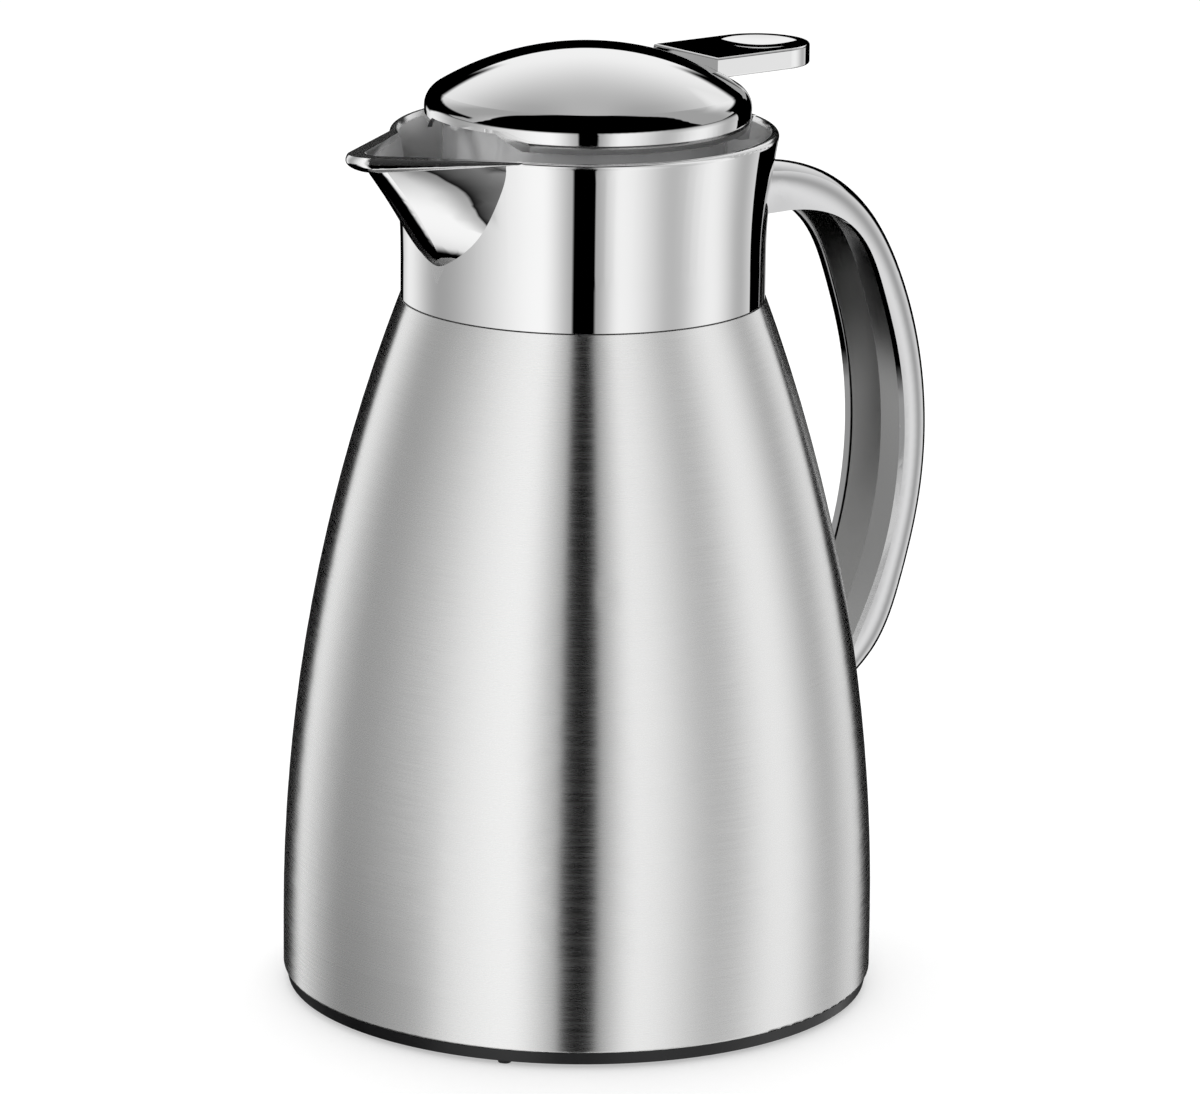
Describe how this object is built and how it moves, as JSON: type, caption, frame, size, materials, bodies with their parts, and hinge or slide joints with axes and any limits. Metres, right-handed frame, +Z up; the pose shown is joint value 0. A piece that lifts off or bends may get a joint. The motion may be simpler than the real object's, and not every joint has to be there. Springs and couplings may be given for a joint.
{
  "type": "thermal jug",
  "caption": "Tapered vacuum jug in brushed steel with a polished pouring collar, a bowed hollow handle and a domed lid that tips open by a thumb lever on a rear hinge.",
  "frame": {"origin": "on the jug's own axis, in the plane it stands on", "axes": "+Z up along the jug's axis, +X towards the handle, -X towards the spout"},
  "size_m": [0.173, 0.14, 0.2254],
  "materials": {
    "brushed_body": "fine brushing around the body",
    "drawn_steel": "plain drawn steel",
    "getter_metal": "matt pressed metal",
    "polished_steel": "mirror polish",
    "plated_core": "bright plated moulding",
    "brushed_inlay": "satin strip",
    "black_base": "fine matt moulding",
    "inner_moulding": "smooth moulding",
    "black_rubber": "soft matt rubber",
    "fastener_steel": "bright stainless"
  },
  "bodies": {
    "jug": {"outer_shell": "brushed_body", "inner_flask": "drawn_steel", "vacuum_floor": "drawn_steel", "getter": "getter_metal", "base_plate": "black_base", "foot_ring": "black_rubber", "collar": "polished_steel", "shoulder_gasket": "black_rubber", "pour_ring": "inner_moulding", "hinge_pin": "fastener_steel", "handle_shell": "polished_steel", "handle_inlay": "brushed_inlay", "handle_anchor": "drawn_steel", "handle_upper_screw": "fastener_steel", "handle_bracket": "drawn_steel", "handle_lower_screw": "fastener_steel"},
    "lid": {"lid_dome": "polished_steel", "lid_core": "plated_core", "lid_screws": "fastener_steel", "thumb_lever": "polished_steel", "lever_screws": "fastener_steel", "seal_spring": "fastener_steel"},
    "seal": {"seal_plate": "inner_moulding", "seal_clip": "fastener_steel", "seal_gasket": "black_rubber"}
  },
  "joints": [
    {"name": "lid_hinge", "type": "hinge", "parent": "jug", "child": "lid", "pos_m": [0.0386, 0, 0.2032], "axis": [0, 1, 0], "range_deg": [0, 48]},
    {"name": "seal_slide", "type": "slide", "parent": "lid", "child": "seal", "axis": [0, 0, 1], "range_m": [0, 0.0025], "stiffness_N_per_m": 500, "springref_m": -0.004, "deforming": ["seal_spring"]}
  ]
}
